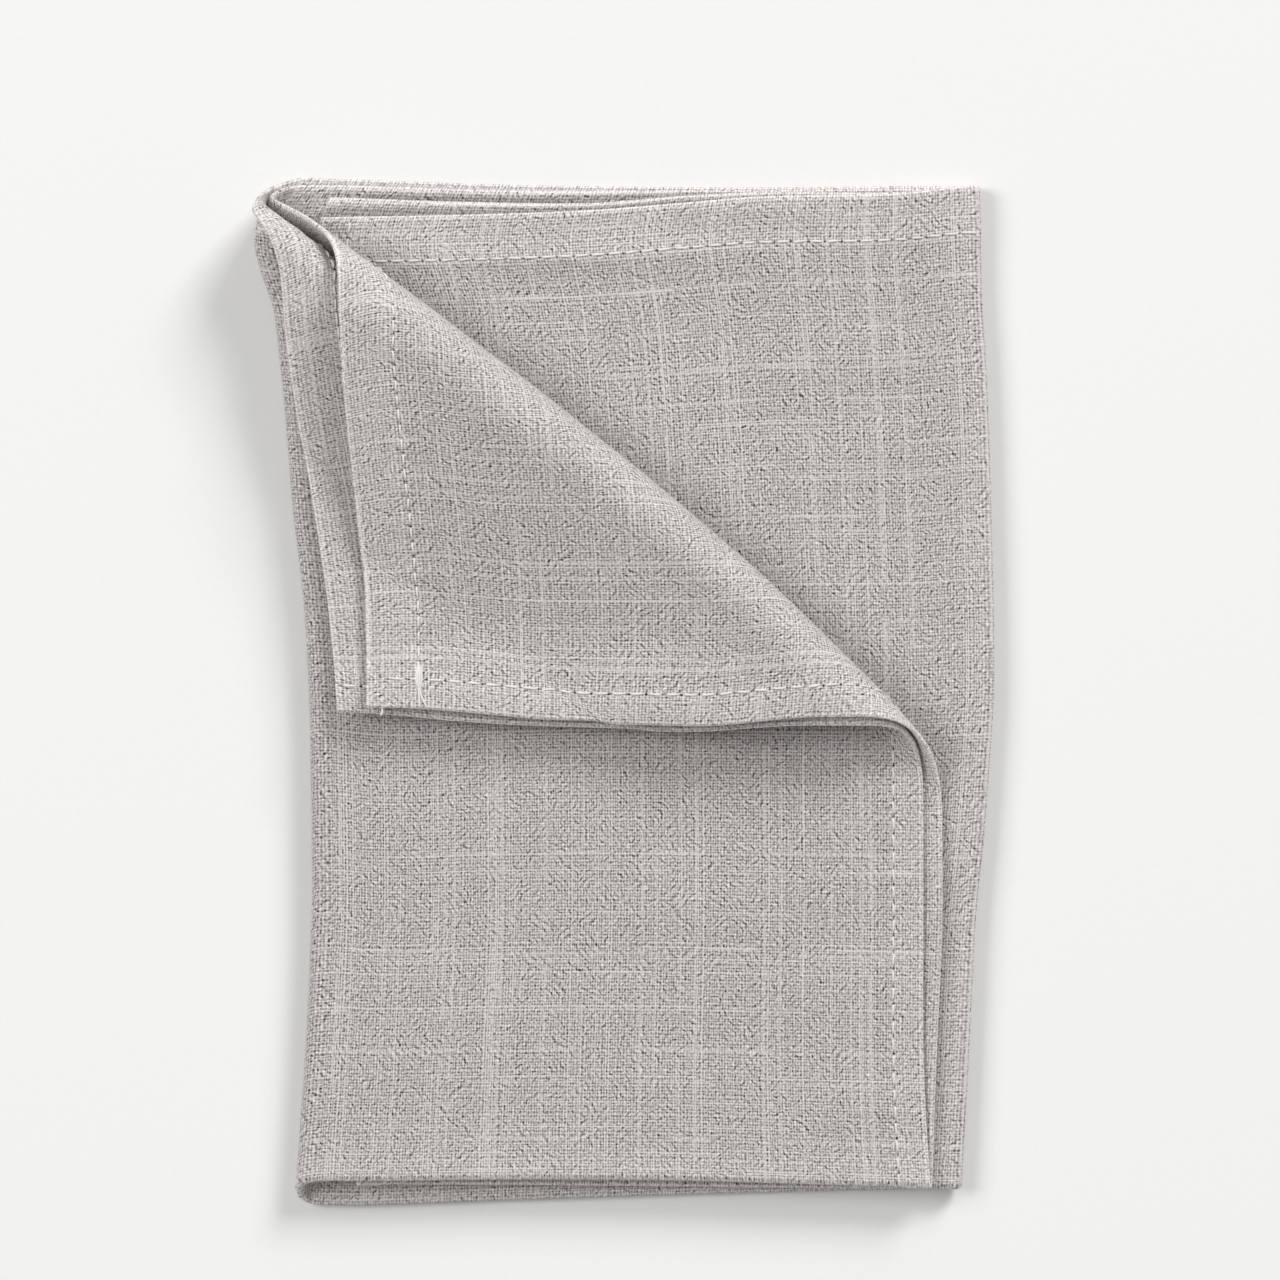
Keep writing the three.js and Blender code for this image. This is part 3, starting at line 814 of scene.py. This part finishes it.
def tube(path, up, radius):
    """Points, faces and map of a thread along a path, closed at both ends."""
    path = np.asarray(path, float)
    run = np.gradient(path, axis=0)
    run /= np.linalg.norm(run, axis=1, keepdims=True)
    across = np.cross(run, up)
    across /= np.linalg.norm(across, axis=1, keepdims=True)
    over = np.cross(across, run)
    angles = np.arange(THREAD_SIDES) * 2 * math.pi / THREAD_SIDES
    ring = np.cos(angles)[None, :, None] * across[:, None] + np.sin(angles)[None, :, None] * over[:, None]
    points = (path[:, None] + ring * radius).reshape(-1, 3)
    steps = np.concatenate([[0], np.cumsum(np.linalg.norm(np.diff(path, axis=0), axis=1))])
    faces = []
    places = []
    for row in range(len(path) - 1):
        for side in range(THREAD_SIDES):
            ahead = (side + 1) % THREAD_SIDES
            low = row * THREAD_SIDES
            high = low + THREAD_SIDES
            faces.append((low + side, low + ahead, high + ahead, high + side))
            round_from = side / THREAD_SIDES
            round_to = (side + 1) / THREAD_SIDES
            places += [
                (steps[row], round_from),
                (steps[row], round_to),
                (steps[row + 1], round_to),
                (steps[row + 1], round_from),
            ]
    last = (len(path) - 1) * THREAD_SIDES
    faces.append(tuple(range(THREAD_SIDES - 1, -1, -1)))
    faces.append(tuple(range(last, last + THREAD_SIDES)))
    places += [(0.0, 0.5)] * THREAD_SIDES + [(steps[-1], 0.5)] * THREAD_SIDES
    return points, faces, places


def build_threads(name, tubes, material, shift):
    """One piece from many threads."""
    points = []
    faces = []
    places = []
    count = 0
    for tube_points, tube_faces, tube_places in tubes:
        points.append(tube_points)
        faces += [tuple(corner + count for corner in face) for face in tube_faces]
        places += tube_places
        count += len(tube_points)
    piece = new_piece(name, np.concatenate(points) + shift, faces, material)
    add_map(piece, "Thread", places)
    return piece


def laid_thread(u, v, face, heights):
    """Thread that lies on one face of the cloth, along cloth points."""
    points, normals = face_point(np.asarray(u, float), np.asarray(v, float), face)
    path = points + normals * np.asarray(heights, float)[:, None]
    return tube(path, normals, THREAD_RADIUS)


def hem_stitches():
    """Rows of stitches along the four hems, on both faces of the cloth."""
    draw = np.random.default_rng(STITCH_SEED)
    tubes = []
    count = int((CLOTH_SIDE - 2 * STITCH_MARGIN) // STITCH_PITCH)
    steps = np.linspace(-0.5, 0.5, len(STITCH_HEIGHTS)) * STITCH_LENGTH
    seams = (
        (SIDE_STITCH_AT, True),
        (CLOTH_SIDE - SIDE_STITCH_AT, True),
        (TOP_STITCH_AT, False),
        (CLOTH_SIDE - TOP_STITCH_AT, False),
    )
    for face in (INNER_FACE, OUTER_FACE):
        for across, down_the_side in seams:
            for stitch in range(count):
                along = (stitch + 0.5) * STITCH_PITCH + STITCH_MARGIN + steps
                lean = draw.uniform(-1, 1) * STITCH_WANDER
                off = across + lean * steps / STITCH_LENGTH * 2
                u, v = (off, along) if down_the_side else (along, off)
                tubes.append(laid_thread(u, v, face, STITCH_HEIGHTS))
    return tubes


def seam_end():
    """Backstitches where a hem seam ends at the flap's corner, with the loose ends of its thread."""
    seam = CLOTH_SIDE - TOP_STITCH_AT
    along = np.linspace(TACK_FROM, TACK_TO, TACK_POINTS)
    swing = np.sin(np.linspace(0, math.pi, TACK_POINTS))
    tubes = []
    for off, height in TACK_STRANDS:
        heights = height * swing + TACK_REST
        heights[[0, -1]] = TACK_SUNK
        tubes.append(laid_thread(along, seam + off * swing, OUTER_FACE, heights))
    share = np.linspace(0, 1, THREAD_END_POINTS)
    end_along = np.linspace(THREAD_END_FROM, THREAD_END_TO, THREAD_END_POINTS)
    for off, drift, height, rise, power in THREAD_ENDS:
        end_off = seam + off + drift * share**power
        tubes.append(laid_thread(end_along, end_off, OUTER_FACE, height + rise * share))
    return tubes


def corner_tail():
    """Short thread end that hangs out of the flap's corner."""
    u = np.linspace(CLOTH_SIDE - TAIL_INSIDE, CLOTH_SIDE, TAIL_POINTS)
    v = np.full(TAIL_POINTS, CLOTH_SIDE - TAIL_FROM_TOP)
    points, normals = face_point(u, v, INNER_FACE)
    run = points[-1] - points[-2]
    run /= np.linalg.norm(run)
    steps = np.arange(1, TAIL_POINTS + 1)[:, None]
    out = steps * TAIL_STEP
    sway = np.sin(steps * TAIL_SWAY_RATE) * TAIL_SWAY * np.cross(run, normals[-1])
    hanging = points[-1] + run * out + sway - np.array((0, 0, TAIL_DROOP)) * out**2
    path = np.concatenate([points + normals * TAIL_HEIGHT, hanging])
    ups = np.concatenate([normals, np.repeat(normals[-1:], TAIL_POINTS, axis=0)])
    return [tube(path, ups, TAIL_RADIUS)]


class Nodes:
    """Short ways to add nodes to one node tree."""

    def __init__(self, tree):
        self.tree = tree

    def add(self, kind, settings=None, **inputs):
        node = self.tree.nodes.new(kind)
        for name, value in (settings or {}).items():
            setattr(node, name, value)
        for name, value in inputs.items():
            self.put(node.inputs[name.replace("_", " ")], value)
        return node

    def put(self, socket, value):
        if isinstance(value, bpy.types.NodeSocket):
            self.tree.links.new(value, socket)
        else:
            socket.default_value = value

    def math(self, operation, *values, clamp=False):
        node = self.tree.nodes.new("ShaderNodeMath")
        node.operation = operation
        node.use_clamp = clamp
        for socket, value in zip(node.inputs, values):
            self.put(socket, value)
        return node.outputs[0]

    def rise(self, value, low, high):
        """0 below low, 1 above high, and a soft rise between."""
        node = self.tree.nodes.new("ShaderNodeMapRange")
        node.interpolation_type = "SMOOTHSTEP"
        for socket, number in zip(node.inputs, (value, low, high, 0.0, 1.0)):
            self.put(socket, number)
        return node.outputs[0]

    def vector(self, x, y, z=0.0):
        node = self.tree.nodes.new("ShaderNodeCombineXYZ")
        for socket, value in zip(node.inputs, (x, y, z)):
            self.put(socket, value)
        return node.outputs[0]

    def noise(self, place, scale, detail=2.0, roughness=0.5):
        node = self.tree.nodes.new("ShaderNodeTexNoise")
        node.noise_dimensions = "2D"
        self.put(node.inputs["Vector"], place)
        self.put(node.inputs["Scale"], scale)
        self.put(node.inputs["Detail"], detail)
        self.put(node.inputs["Roughness"], roughness)
        return node.outputs["Fac"]

    def chance(self, place):
        """Even random number for each whole place."""
        node = self.tree.nodes.new("ShaderNodeTexWhiteNoise")
        node.noise_dimensions = "3D"
        self.put(node.inputs["Vector"], place)
        return node.outputs["Value"]

    def between(self, share, dark, pale):
        """Colour between a dark and a pale one."""
        node = self.tree.nodes.new("ShaderNodeMix")
        node.data_type = "RGBA"
        self.put(node.inputs["Factor"], share)
        node.inputs[6].default_value = dark
        node.inputs[7].default_value = pale
        return node.outputs[2]


def new_group(name, values, masks):
    """Empty node group: the place on the cloth and named values go in, named masks come out."""
    group = bpy.data.node_groups.new(name, "ShaderNodeTree")
    group.interface.new_socket("Cloth mm", in_out="INPUT", socket_type="NodeSocketVector")
    for value in values:
        group.interface.new_socket(value, in_out="INPUT", socket_type="NodeSocketFloat")
    for mask in masks:
        group.interface.new_socket(mask, in_out="OUTPUT", socket_type="NodeSocketFloat")
    entry = group.nodes.new("NodeGroupInput")
    leave = group.nodes.new("NodeGroupOutput")
    return group, Nodes(group), entry.outputs, leave.inputs


def slub_weave_group():
    """Plain weave of uneven yarns: over and under, dark lines and gaps between, and pale yarns."""
    masks = ("Over under", "Lines", "Gaps", "Light yarns")
    group, nodes, given, out = new_group("Slub weave", ("Warp pitch", "Weft pitch"), masks)
    split = nodes.add("ShaderNodeSeparateXYZ", Vector=given["Cloth mm"]).outputs
    yarns = []
    for axis, aside, pitch in (("X", WARP_START, "Warp pitch"), ("Y", WEFT_START, "Weft pitch")):
        slow = nodes.math("SINE", nodes.math("MULTIPLY_ADD", split[axis], SLOW_SWAY[0], aside))
        quick = nodes.math("SINE", nodes.math("MULTIPLY", split[axis], QUICK_SWAY[0]))
        moved = nodes.add("ShaderNodeVectorMath", {"operation": "ADD"})
        nodes.put(moved.inputs[0], given["Cloth mm"])
        moved.inputs[1].default_value = (aside, 2 * aside, 0.0)
        wander = nodes.noise(moved.outputs[0], WANDER[0], detail=0.0)
        place = nodes.math("MULTIPLY_ADD", slow, SLOW_SWAY[1], split[axis])
        place = nodes.math("MULTIPLY_ADD", quick, QUICK_SWAY[1], place)
        place = nodes.math("MULTIPLY_ADD", nodes.math("SUBTRACT", wander, 0.5), WANDER[1], place)
        yarns.append(nodes.math("DIVIDE", place, given[pitch]))
    whole = [nodes.math("FLOOR", yarn) for yarn in yarns]
    nearest = [nodes.math("ROUND", yarn) for yarn in yarns]
    opens = []
    for yarn in yarns:
        wave = nodes.math("COSINE", nodes.math("MULTIPLY", yarn, math.pi))
        opens.append(nodes.math("MULTIPLY", wave, wave))
    nodes.put(out["Over under"], nodes.noise(given["Cloth mm"], OVER_UNDER_SCALE, detail=0.0))
    down = nodes.chance(nodes.vector(nearest[0], whole[1], WARP_LINE_SEED))
    across = nodes.chance(nodes.vector(whole[0], nearest[1], WEFT_LINE_SEED))
    down = nodes.math("MULTIPLY", opens[0], nodes.math("MULTIPLY_ADD", down, *WARP_LINE_DEPTH))
    across = nodes.math("MULTIPLY", opens[1], nodes.math("MULTIPLY_ADD", across, *WEFT_LINE_DEPTH))
    nodes.put(out["Lines"], nodes.math("ADD", down, across))
    holes = nodes.chance(nodes.vector(*nearest, GAP_SEED))
    nodes.put(out["Gaps"], nodes.math("MULTIPLY", nodes.math("MULTIPLY", *opens), holes))
    light_yarns = []
    for across, along, (seed, ends) in (("X", "Y", LIGHT_WARP), ("Y", "X", LIGHT_WEFT)):
        yarn = nodes.math("FLOOR", nodes.math("DIVIDE", split[across], LIGHT_YARN_WIDTH))
        chosen = nodes.chance(nodes.vector(yarn, seed))
        lit = nodes.math("GREATER_THAN", chosen, 1.0 - LIGHT_YARN_SHARE)
        yarn_apart = nodes.math("MULTIPLY", yarn, LIGHT_YARN_APART)
        run = nodes.vector(yarn_apart, nodes.math("MULTIPLY", split[along], LIGHT_YARN_STRETCH))
        shown = nodes.rise(nodes.noise(run, 1.0, detail=0.0), ends, ends + LIGHT_YARN_FADE)
        light_yarns.append(nodes.math("MULTIPLY", lit, shown))
    nodes.put(out["Light yarns"], nodes.math("MAXIMUM", *light_yarns))
    return group


def crinkle_group():
    """Diagonal crinkle of washed cloth: short creases, one way or the other, with their sides below zero;
    it drives the bump, and the colour takes it as painted shade in the creases and painted light on their
    sides.
    """
    group, nodes, given, out = new_group("Washed crinkle", ("Spacing", "Length"), ("Creases",))
    split = nodes.add("ShaderNodeSeparateXYZ", Vector=given["Cloth mm"]).outputs
    bend = 0.0
    for turns_x, turns_y, reach in (CRINKLE_BEND_SLOW, CRINKLE_BEND_QUICK):
        wave = nodes.math("MULTIPLY_ADD", split["X"], turns_x, nodes.math("MULTIPLY", split["Y"], turns_y))
        bend = nodes.math("MULTIPLY_ADD", nodes.math("SINE", wave), reach, bend)
    patches = nodes.noise(given["Cloth mm"], CRINKLE_PATCH_SCALE, detail=0.0)
    one_way = nodes.rise(patches, *CRINKLE_PATCH_EDGE)
    other_way = nodes.math("SUBTRACT", 1.0, one_way)
    creases = []
    for angle, shown in ((CRINKLE_ANGLE, one_way), (-CRINKLE_ANGLE, other_way)):
        turn = nodes.add("ShaderNodeMapping", Vector=given["Cloth mm"])
        turn.inputs["Rotation"].default_value = (0.0, 0.0, angle)
        place = nodes.add("ShaderNodeSeparateXYZ", Vector=turn.outputs[0]).outputs
        row = nodes.math("DIVIDE", nodes.math("ADD", place["X"], bend), given["Spacing"])
        row_number = nodes.math("FLOOR", row)
        wave = nodes.math("SINE", nodes.math("MULTIPLY", nodes.math("FRACT", row), math.pi))
        line = nodes.math("SUBTRACT", nodes.math("POWER", wave, CRINKLE_SHARPNESS), CRINKLE_MEAN)
        start = nodes.chance(nodes.vector(row_number, CRINKLE_ROW_SEED))
        start = nodes.math("MULTIPLY", start, CRINKLE_ROW_START)
        along = nodes.math("ADD", nodes.math("DIVIDE", place["Y"], given["Length"]), start)
        taper = nodes.math("SINE", nodes.math("MULTIPLY", nodes.math("FRACT", along), math.pi))
        depth = nodes.chance(nodes.vector(row_number, nodes.math("FLOOR", along), angle))
        depth = nodes.math("MULTIPLY", nodes.rise(depth, *CRINKLE_DEPTH), taper)
        creases.append(nodes.math("MULTIPLY", nodes.math("MULTIPLY", line, depth), shown))
    nodes.put(out["Creases"], nodes.math("ADD", *creases))
    return group


def hem_lines_group():
    """Needle holes along the stitch lines, the closed band of each hem and the painted highlight along its
    folded edge.
    """
    masks = ("Needle holes", "Hem band", "Hem edge highlight")
    group, nodes, given, out = new_group("Hem lines", (), masks)
    split = nodes.add("ShaderNodeSeparateXYZ", Vector=given["Cloth mm"]).outputs
    from_side = nodes.math("MINIMUM", split["X"], nodes.math("SUBTRACT", CLOTH_SIDE, split["X"]))
    from_top = nodes.math("MINIMUM", split["Y"], nodes.math("SUBTRACT", CLOTH_SIDE, split["Y"]))
    holes = []
    bands = []
    lines = (
        (from_side, split["Y"], SIDE_STITCH_AT, SIDE_HEM_WIDTH),
        (from_top, split["X"], TOP_STITCH_AT, TOP_HEM_WIDTH),
    )
    for from_edge, along, stitch_at, hem_width in lines:
        across = nodes.math("SUBTRACT", from_edge, stitch_at)
        step = nodes.math("SUBTRACT", along, STITCH_MARGIN)
        step = nodes.math("WRAP", step, STITCH_PITCH / 2, -STITCH_PITCH / 2)
        apart = nodes.math("MULTIPLY_ADD", across, across, nodes.math("MULTIPLY", step, step))
        holes.append(nodes.math("SUBTRACT", 1.0, nodes.rise(apart, *NEEDLE_HOLE)))
        past_hem = nodes.rise(from_edge, hem_width - HEM_BAND_FADE, hem_width)
        bands.append(nodes.math("SUBTRACT", 1.0, past_hem))
    nodes.put(out["Needle holes"], nodes.math("MAXIMUM", *holes))
    nodes.put(out["Hem band"], nodes.math("MAXIMUM", *bands))
    from_edge = nodes.math("MINIMUM", from_side, from_top)
    nodes.put(out["Hem edge highlight"], nodes.math("SUBTRACT", 1.0, nodes.rise(from_edge, *HEM_EDGE_HIGHLIGHT_REACH)))
    return group


def new_material(name):
    """Material with only a Principled shader on its output."""
    material = bpy.data.materials.new(name)
    material.use_nodes = True
    nodes = Nodes(material.node_tree)
    shader = material.node_tree.nodes["Principled BSDF"]
    return material, nodes, shader.inputs


def place_group(nodes, group, **inputs):
    node = nodes.tree.nodes.new("ShaderNodeGroup")
    node.node_tree = group
    for name, value in inputs.items():
        nodes.put(node.inputs[name.replace("_", " ")], value)
    return node.outputs


def napkin_cotton():
    """Warm grey slub cotton with dark gaps between its yarns, a fine crinkle with painted shade in its
    creases, and painted highlights on the folds, the roll's crest and the hem edges.
    """
    material, nodes, shader = new_material("napkin_cotton")
    cloth_map = nodes.add("ShaderNodeUVMap", {"uv_map": "Cloth"}).outputs["UV"]
    scaled = nodes.add("ShaderNodeVectorMath", {"operation": "SCALE"})
    nodes.put(scaled.inputs[0], cloth_map)
    scaled.inputs["Scale"].default_value = CLOTH_SIDE
    cloth_mm = scaled.outputs[0]
    weave = place_group(
        nodes, slub_weave_group(), Cloth_mm=cloth_mm, Warp_pitch=WARP_PITCH, Weft_pitch=WEFT_PITCH
    )
    crinkle = place_group(
        nodes, crinkle_group(), Cloth_mm=cloth_mm, Spacing=CRINKLE_SPACING, Length=CRINKLE_LENGTH
    )
    creases = crinkle["Creases"]
    hem = place_group(nodes, hem_lines_group(), Cloth_mm=cloth_mm)
    light = nodes.math("MULTIPLY_ADD", weave["Over under"], OVER_UNDER_LIGHT, BASE_LIGHT)
    light = nodes.math("MULTIPLY_ADD", weave["Lines"], LINES_LIGHT, light)
    light = nodes.math("MULTIPLY_ADD", weave["Gaps"], GAPS_LIGHT, light)
    # Painted shade in the crinkle's creases and painted light on their sides
    light = nodes.math("MULTIPLY_ADD", creases, CREASE_PAINTED_SHADE, light)
    shown = nodes.math("MULTIPLY", weave["Light yarns"], LIGHT_YARN_COVER)
    light = nodes.math("MULTIPLY_ADD", nodes.math("SUBTRACT", LIGHT_YARN_LIGHT, light), shown, light)
    # Painted highlight on the folds and the roll's crest
    highlight_share = nodes.add("ShaderNodeAttribute", {"attribute_name": "Fold highlight"}).outputs["Fac"]
    light = nodes.math("MULTIPLY_ADD", highlight_share, PAINTED_FOLD_HIGHLIGHT, light)
    light = nodes.math("MULTIPLY_ADD", hem["Hem band"], HEM_BAND_LIGHT, light)
    # Painted highlight along the hem edges
    light = nodes.math("MULTIPLY_ADD", hem["Hem edge highlight"], PAINTED_HEM_EDGE_HIGHLIGHT, light)
    light = nodes.math("MULTIPLY_ADD", hem["Needle holes"], NEEDLE_HOLE_LIGHT, light, clamp=True)
    nodes.put(shader["Base Color"], nodes.between(light, SHADE_COLOUR, YARN_COLOUR))
    bump = nodes.add("ShaderNodeBump", {"invert": True}, Height=creases, Strength=1.0, Distance=CREASE_BUMP)
    nodes.put(shader["Normal"], bump.outputs["Normal"])
    rough = nodes.math("MULTIPLY_ADD", weave["Light yarns"], LIGHT_YARN_SMOOTHER, COTTON_ROUGHNESS)
    nodes.put(shader["Roughness"], rough)
    shader["Specular IOR Level"].default_value = COTTON_SPECULAR
    shader["Sheen Weight"].default_value = COTTON_SHEEN
    shader["Sheen Roughness"].default_value = COTTON_SHEEN_ROUGHNESS
    shader["Sheen Tint"].default_value = COTTON_SHEEN_TINT
    return material


def stitch_thread():
    """Off-white sewing thread with the twist of its plies."""
    material, nodes, shader = new_material("stitch_thread")
    thread_map = nodes.add("ShaderNodeUVMap", {"uv_map": "Thread"}).outputs["UV"]
    split = nodes.add("ShaderNodeSeparateXYZ", Vector=thread_map).outputs
    turn = nodes.math("MULTIPLY_ADD", split["X"], THREAD_TWIST, split["Y"])
    plies = nodes.math("ABSOLUTE", nodes.math("SINE", nodes.math("MULTIPLY", turn, 2 * math.pi)))
    fibre = nodes.noise(thread_map, THREAD_FIBRE_SCALE)
    light = nodes.math("MULTIPLY_ADD", fibre, THREAD_FIBRE_LIGHT, THREAD_BASE_LIGHT)
    light = nodes.math("MULTIPLY_ADD", plies, THREAD_PLY_LIGHT, light, clamp=True)
    nodes.put(shader["Base Color"], nodes.between(light, THREAD_DARK, THREAD_PALE))
    bump = nodes.add("ShaderNodeBump", Height=plies, Strength=THREAD_BUMP_STRENGTH, Distance=THREAD_BUMP)
    nodes.put(shader["Normal"], bump.outputs["Normal"])
    shader["Roughness"].default_value = THREAD_ROUGHNESS
    shader["Sheen Weight"].default_value = THREAD_SHEEN
    return material


def floor_paper():
    """Plain pale ground with a faint tooth."""
    material, nodes, shader = new_material("floor_paper")
    place = nodes.add("ShaderNodeTexCoord").outputs["Object"]
    tooth = nodes.add("ShaderNodeTexNoise", Vector=place, Scale=FLOOR_TOOTH_SCALE).outputs["Fac"]
    nodes.put(shader["Base Color"], nodes.between(tooth, FLOOR_DARK, FLOOR_PALE))
    shader["Roughness"].default_value = FLOOR_ROUGHNESS
    shader["Specular IOR Level"].default_value = FLOOR_SPECULAR
    return material


def build_floor(material):
    corners = ((-1, -1, 0), (1, -1, 0), (1, 1, 0), (-1, 1, 0))
    points = np.array(corners, float) * FLOOR_HALF_SIDE
    floor = new_piece("floor", points, [(0, 1, 2, 3)], material)
    return floor


def build_camera(shift):
    """Camera straight above, framing what the photograph frames."""
    data = bpy.data.cameras.new("camera")
    data.sensor_width = SENSOR_WIDTH
    frame_width = PHOTO_SIZE * PHOTO_SCALE * METRES
    data.lens = SENSOR_WIDTH * CAMERA_HEIGHT / frame_width
    camera = bpy.data.objects.new("camera", data)
    middle = PHOTO_SIZE / 2
    x = (middle - PHOTO_ORIGIN[0]) * PHOTO_SCALE + shift[0]
    y = (PHOTO_ORIGIN[1] - middle) * PHOTO_SCALE + shift[1]
    camera.location = (x * METRES, y * METRES, CAMERA_HEIGHT)
    bpy.context.scene.collection.objects.link(camera)
    bpy.context.scene.camera = camera


def add_softbox(name, place, size, power):
    """Square softbox, in metres and watts, that faces the napkin's middle."""
    data = bpy.data.lights.new(name, "AREA")
    data.shape = "SQUARE"
    data.size = size
    data.energy = power
    softbox = bpy.data.objects.new(name, data)
    softbox.location = place
    heading = -np.array(place, float)
    softbox.rotation_euler = (
        math.atan2(math.hypot(heading[0], heading[1]), -heading[2]),
        0.0,
        math.atan2(heading[0], -heading[1]) + math.pi,
    )
    bpy.context.scene.collection.objects.link(softbox)


def light_scene():
    """Soft studio light: a pale surround, a softbox at the upper right and one on the left."""
    world = bpy.data.worlds.new("surround")
    world.use_nodes = True
    surround = world.node_tree.nodes["Background"]
    surround.inputs["Color"].default_value = SURROUND_COLOUR
    surround.inputs["Strength"].default_value = SURROUND_STRENGTH
    bpy.context.scene.world = world
    for softbox in SOFTBOXES:
        add_softbox(*softbox)
    view = bpy.context.scene.view_settings
    view.view_transform = "Standard"
    view.look = "None"


shift = cloth_to_box()
build_camera(shift)
light_scene()
build_floor(floor_paper())
thread_finish = stitch_thread()
napkin = build_cloth(napkin_cotton(), shift)
stitching = build_threads("hem_stitching", hem_stitches(), thread_finish, shift)
seam_ends = build_threads("seam_thread_ends", seam_end() + corner_tail(), thread_finish, shift)
for piece in (napkin, stitching, seam_ends):
    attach(piece, "root")
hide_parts("napkin")
